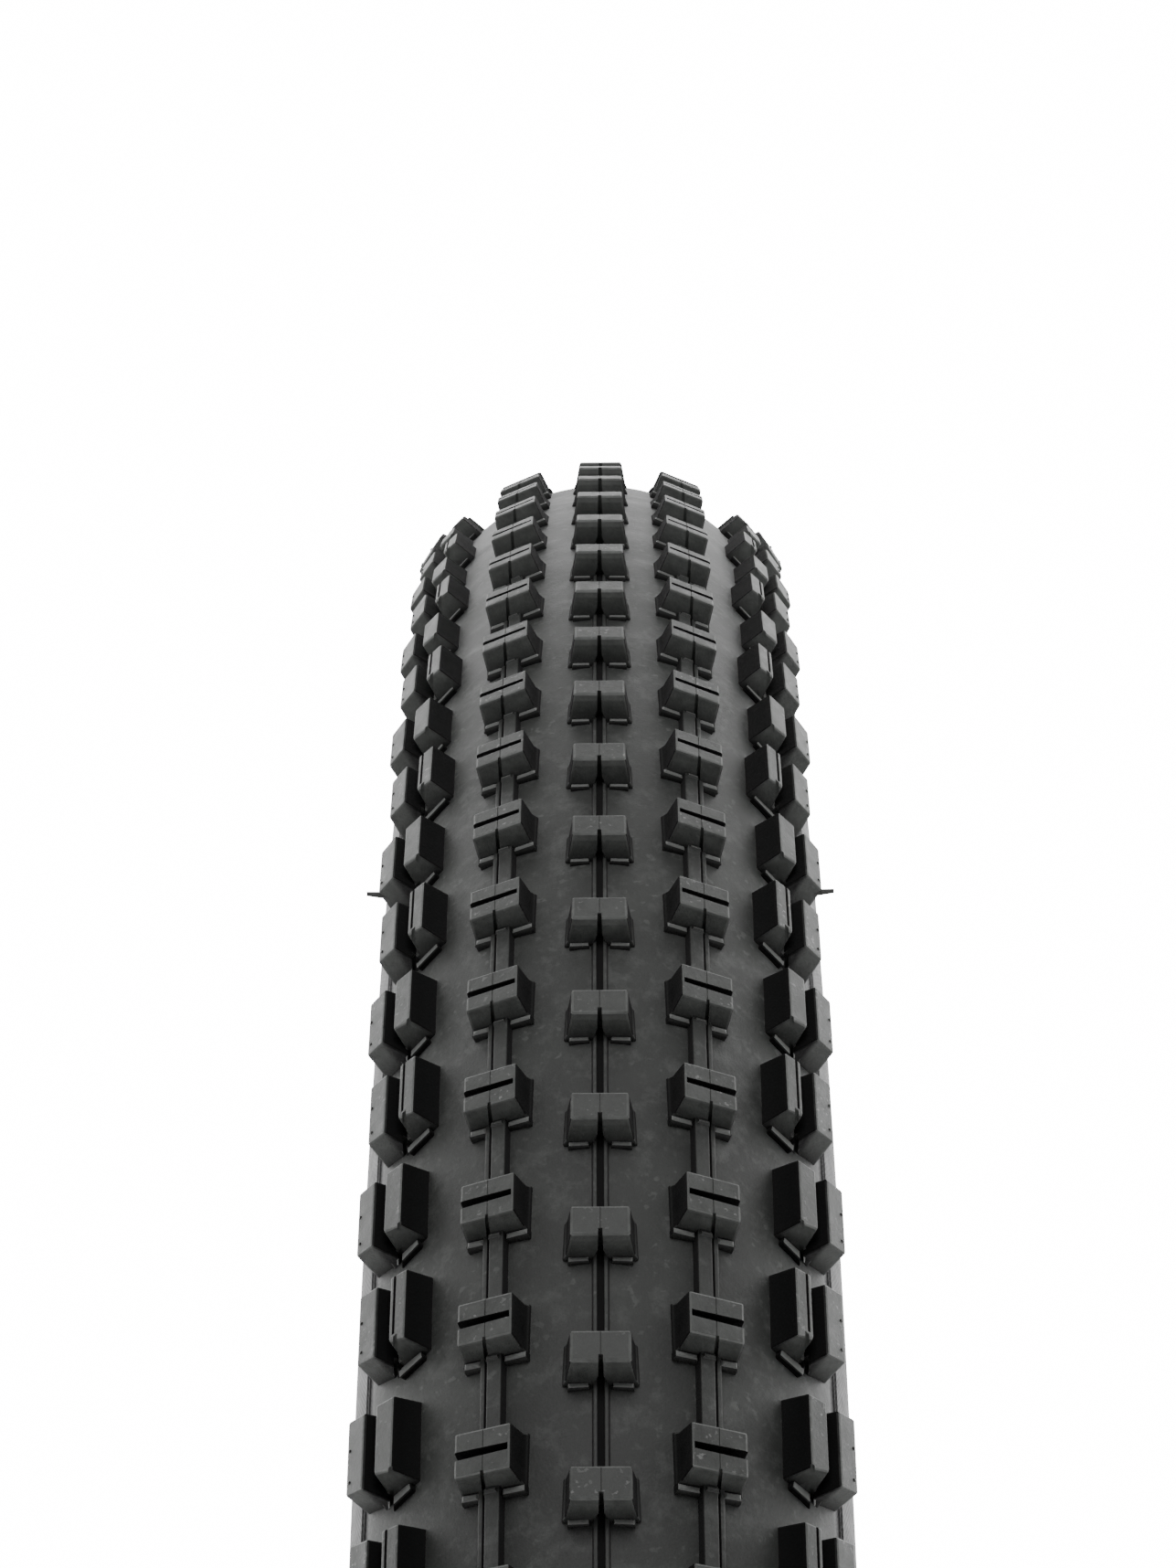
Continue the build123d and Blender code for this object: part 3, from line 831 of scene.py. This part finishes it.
def base_rubber():
    """The same compound between the knobs: smooth from the mould, dull, cloudy, with a scatter of specks,
    and painted shade on steep faces and along the crown's parting groove.
    """
    material, tree, shader = new_material("tread_base_rubber")
    facing, _, _ = facing_out(tree)
    _, _, across = tyre_coordinates(tree)
    clouds = noise(tree, 12.0, 6.0, 0.7)
    base = ramp(tree, clouds, [(0.34, (0.034, 0.036, 0.034)), (0.66, (0.062, 0.066, 0.062))])
    smears = ramp(tree, noise(tree, 4.0, 5.0, 0.7), [(0.5, 0.0), (0.68, 0.75)])
    base = blended(tree, smears, base, (0.100, 0.104, 0.100))
    specked = blended(tree, specks(tree, 1.5, 12.0), base, (0.115, 0.120, 0.115))
    # Painted shade: steep faces, the walls of the ribs, and a narrow band along the crown's parting groove
    # are made nearly black
    steep = ramp(tree, facing, [(0.4, 1.0), (0.85, 0.0)])
    off_crown = math_node(tree, "MULTIPLY", across, 1 / (GROOVE_SPAN * MM))
    groove = ramp(tree, off_crown, [(0.19, 1.0), (0.24, 0.0)])
    dark = math_node(tree, "MAXIMUM", steep, groove)
    sheen = ramp(tree, clouds, [(0.3, 0.54), (0.7, 0.68)])
    colour = blended(tree, dark, specked, (0.008, 0.008, 0.008))
    set_look(tree, shader, colour, math_node(tree, "MAXIMUM", sheen, dark))
    shader.inputs["Specular IOR Level"].default_value = 0.6
    bumped(tree, shader, [(noise(tree, 2.2, 4.0, 0.6), 0.05), (noise(tree, 0.4, 4.0, 0.65), 0.05)])
    return material


def hair_rubber():
    """Grey stretched rubber of the vent hairs."""
    material, tree, shader = new_material("hair_rubber")
    streaks = noise(tree, 0.8, 3.0, 0.6)
    colour = ramp(tree, streaks, [(0.3, (0.07, 0.072, 0.07)), (0.7, (0.12, 0.124, 0.12))])
    set_look(tree, shader, colour, ramp(tree, streaks, [(0.3, 0.5), (0.7, 0.7)]))
    bumped(tree, shader, [(streaks, 0.05)])
    return material


def sidewall_rubber():
    """Thinner, greyer rubber with the casing's threads showing through it."""
    material, tree, shader = new_material("sidewall_rubber")
    around, radius, across = tyre_coordinates(tree)
    drop = math_node(tree, "SUBTRACT", across, radius)
    cords = threads(tree, math_node(tree, "ADD", around, drop), 0.9)
    clouds = noise(tree, 18.0, 5.0, 0.6)
    base = ramp(tree, clouds, [(0.3, (0.046, 0.046, 0.047)), (0.7, (0.062, 0.062, 0.063))])
    tinted = blended(tree, math_node(tree, "MULTIPLY", cords, 0.25), base, (0.085, 0.085, 0.084))
    sheen = ramp(tree, noise(tree, 2.0, 3.0, 0.6), [(0.3, 0.5), (0.7, 0.62)])
    set_look(tree, shader, tinted, sheen)
    bumped(tree, shader, [(cords, 0.05), (noise(tree, 0.4, 3.0, 0.6), 0.03)])
    return material


def chafer_rubber():
    """Rubbered nylon tape: a fine square weave under a dull black coat."""
    material, tree, shader = new_material("chafer_rubber")
    around, radius, across = tyre_coordinates(tree)
    warp = threads(tree, around, 0.7)
    weft = threads(tree, math_node(tree, "SUBTRACT", across, radius), 0.7)
    weave = math_node(tree, "MULTIPLY", warp, weft)
    clouds = noise(tree, 9.0, 4.0, 0.6)
    base = ramp(tree, clouds, [(0.3, (0.022, 0.022, 0.023)), (0.7, (0.032, 0.032, 0.033))])
    tinted = blended(tree, math_node(tree, "MULTIPLY", weave, 0.5), base, (0.06, 0.06, 0.06))
    set_look(tree, shader, tinted, ramp(tree, weave, [(0.0, 0.72), (1.0, 0.55)]))
    bumped(tree, shader, [(weave, 0.12)])
    return material


def liner_rubber():
    """Smooth dark film inside the tyre, with the inner ply's threads pressed through it."""
    material, tree, shader = new_material("liner_rubber")
    around, radius, across = tyre_coordinates(tree)
    diagonal = math_node(tree, "ADD", around, math_node(tree, "ADD", across, radius))
    clouds = noise(tree, 14.0, 5.0, 0.6)
    base = ramp(tree, clouds, [(0.3, (0.024, 0.024, 0.026)), (0.7, (0.040, 0.040, 0.041))])
    sheen = ramp(tree, noise(tree, 5.0, 4.0, 0.6), [(0.3, 0.34), (0.7, 0.5)])
    set_look(tree, shader, base, sheen)
    bumped(tree, shader, [(threads(tree, diagonal, 0.8), 0.09), (noise(tree, 1.0, 3.0, 0.6), 0.03)])
    return material


def filler_rubber():
    """Hard black wedge rubber with a coarse cut grain."""
    material, tree, shader = new_material("filler_rubber")
    clouds = noise(tree, 3.0, 5.0, 0.65)
    base = ramp(tree, clouds, [(0.3, (0.014, 0.014, 0.015)), (0.7, (0.026, 0.026, 0.027))])
    sheen = ramp(tree, noise(tree, 1.2, 3.0, 0.6), [(0.3, 0.4), (0.7, 0.6)])
    set_look(tree, shader, base, sheen)
    bumped(tree, shader, [(noise(tree, 0.5, 3.0, 0.6), 0.06)])
    return material


def fabric(name, dark, light, pitch, crossed, depth):
    """Cord fabric: threads on one diagonal, or woven on both."""
    material, tree, shader = new_material(name)
    around, radius, across = tyre_coordinates(tree)
    down = math_node(tree, "ADD", across, radius)
    height = threads(tree, math_node(tree, "ADD", around, down), pitch)
    if crossed:
        other = threads(tree, math_node(tree, "SUBTRACT", around, down), pitch)
        height = math_node(tree, "MULTIPLY", height, other)
    fuzz = noise(tree, 0.3, 3.0, 0.6)
    fibres = math_node(tree, "MULTIPLY_ADD", fuzz, 0.3, math_node(tree, "MULTIPLY", height, 0.7))
    colour = ramp(tree, fibres, [(0.1, dark), (0.9, light)])
    set_look(tree, shader, colour, ramp(tree, height, [(0.0, 0.85), (1.0, 0.62)]))
    bumped(tree, shader, [(height, depth), (noise(tree, 0.25, 2.0, 0.6), 0.03)])
    return material


def dress(material, *objects):
    """The material as the only one of each object."""
    for obj in objects:
        obj.data.materials.clear()
        obj.data.materials.append(material)


dress(knob_rubber(), *centre_knobs, *transition_knobs, *siped_knobs, *plain_knobs)
dress(hair_rubber(), hairs)
dress(base_rubber(), tread_base, *centre_ribs, *transition_ribs)
dress(sidewall_rubber(), *sidewalls)
dress(chafer_rubber(), *chafers)
dress(liner_rubber(), liner)

# Inner layers keep their CAD shapes
cad = frame["nodes"]
casing_fabric = fabric("casing_fabric", (0.045, 0.032, 0.022), (0.20, 0.15, 0.10), 0.5, False, 0.12)
breaker_fabric = fabric("breaker_fabric", (0.30, 0.26, 0.14), (0.62, 0.55, 0.32), 0.9, True, 0.2)
bead_aramid = fabric("bead_aramid", (0.32, 0.24, 0.08), (0.66, 0.52, 0.20), 0.6, True, 0.15)
dress(filler_rubber(), cad["bead_filler_left"], cad["bead_filler_right"])
dress(casing_fabric, cad["casing_ply_inner"], cad["casing_ply_outer"])
dress(breaker_fabric, cad["puncture_breaker"])
dress(bead_aramid, cad["bead_core_left"], cad["bead_core_right"])


# ---------------------------------------------------------------- floor, light and camera, in metres
FLOOR_HALF = 1.6
BACKDROP = 16.0
CEILING_LEAN = radians(20)
CEILING_GLOW = 0.2
BAND_GLOW = 3.0


def pale_floor():
    """Pale matt sheet at the foot of the tyre."""
    low = cad_box[0][2]
    corners = [(x * FLOOR_HALF, y * FLOOR_HALF, low) for x, y in ((-1, -1), (1, -1), (1, 1), (-1, 1))]
    mesh = bpy.data.meshes.new("floor")
    mesh.from_pydata(corners, [], [(0, 1, 2, 3)])
    floor = bpy.data.objects.new("floor", mesh)
    bpy.context.collection.objects.link(floor)
    material, tree, shader = new_material("pale_floor")
    pale = ramp(tree, noise(tree, 400.0, 2.0, 0.5), [(0.3, 0.80), (0.7, 0.83)])
    tree.links.new(pale, shader.inputs["Base Color"])
    shader.inputs["Roughness"].default_value = 0.8
    dress(material, floor)


def studio_world():
    """White seen by the camera; for all else a bright band low down behind the tyre, under a dim ceiling."""
    world = bpy.data.worlds.new("studio")
    bpy.context.scene.world = world
    world.use_nodes = True
    tree = world.node_tree
    tree.nodes.clear()
    output = tree.nodes.new("ShaderNodeOutputWorld")
    coordinates = tree.nodes.new("ShaderNodeTexCoord")
    split = tree.nodes.new("ShaderNodeSeparateXYZ")
    tree.links.new(coordinates.outputs["Generated"], split.inputs["Vector"])
    x, z = split.outputs["X"], split.outputs["Z"]

    upright = math_node(tree, "MULTIPLY", z, cos(CEILING_LEAN))
    overhead = math_node(tree, "MULTIPLY_ADD", x, sin(CEILING_LEAN), upright)
    band = ramp(tree, overhead, [(0.33, 1.0), (0.5, 0.55), (0.72, 0.2), (0.95, 0.0)])
    backwards = math_node(tree, "MULTIPLY_ADD", x, -0.5, 0.5)
    behind = ramp(tree, backwards, [(0.2, 0.07), (0.475, 0.28), (0.72, 1.0)])
    glow = math_node(tree, "MULTIPLY", math_node(tree, "MULTIPLY", band, behind), BAND_GLOW)
    ceiling = ramp(tree, z, [(0.25, 0.0), (0.95, 1.0)])
    strength = math_node(tree, "MULTIPLY_ADD", ceiling, CEILING_GLOW, glow)

    lit = tree.nodes.new("ShaderNodeBackground")
    tree.links.new(strength, lit.inputs["Strength"])
    seen = tree.nodes.new("ShaderNodeBackground")
    seen.inputs["Strength"].default_value = BACKDROP
    for background in (lit, seen):
        background.inputs["Color"].default_value = (1, 1, 1, 1)
    rays = tree.nodes.new("ShaderNodeLightPath")
    mix = tree.nodes.new("ShaderNodeMixShader")
    tree.links.new(rays.outputs["Is Camera Ray"], mix.inputs["Fac"])
    tree.links.new(lit.outputs["Background"], mix.inputs[1])
    tree.links.new(seen.outputs["Background"], mix.inputs[2])
    tree.links.new(mix.outputs["Shader"], output.inputs["Surface"])


def soft_light(name, place, aim, size, power):
    """Square area light at a place, aimed at a point."""
    data = bpy.data.lights.new(name, "AREA")
    data.shape = "SQUARE"
    data.size = size
    data.energy = power
    light = bpy.data.objects.new(name, data)
    light.location = place
    light.rotation_euler = (Vector(aim) - Vector(place)).to_track_quat("-Z", "Y").to_euler()
    bpy.context.collection.objects.link(light)


pale_floor()
studio_world()
for side in BOTH:
    soft_light(f"side{side}", (-0.3, side * 1.5, 0.3), (0.15, 0.0, 0.2), 0.9, 3.5)
soft_light("behind", (-1.4, 0.0, 1.0), (0.1, 0.0, 0.3), 1.2, 6.0)
soft_light("above", (0.55, 0.0, 0.75), (0.15, 0.0, 0.32), 0.3, 1.2)

# The camera stands off the front of the tyre, above the axle, looking slightly up at its crown
CAMERA_REACH = 2.276 * KNOB_TOP * MM
CAMERA_ASIDE = 0.0055 * KNOB_TOP * MM
CAMERA_RISE = radians(15.52)
LOOK_UP = 6.31
YAW = 0.35
ROLL = -0.34
SENSOR = 36.0
LENS = 99.8
camera_data = bpy.data.cameras.new("camera")
camera_data.sensor_width = SENSOR
camera_data.lens = LENS
camera_data.clip_end = 20
camera = bpy.data.objects.new("camera", camera_data)
bpy.context.collection.objects.link(camera)
camera.location = (CAMERA_REACH * cos(CAMERA_RISE), CAMERA_ASIDE, CAMERA_REACH * sin(CAMERA_RISE))
heading = Matrix.Rotation(radians(90 + YAW), 4, "Z")
tilt = Matrix.Rotation(radians(90 + LOOK_UP), 4, "X")
level = Matrix.Rotation(radians(ROLL), 4, "Z")
camera.matrix_world = Matrix.Translation(camera.location) @ heading @ tilt @ level
bpy.context.scene.camera = camera
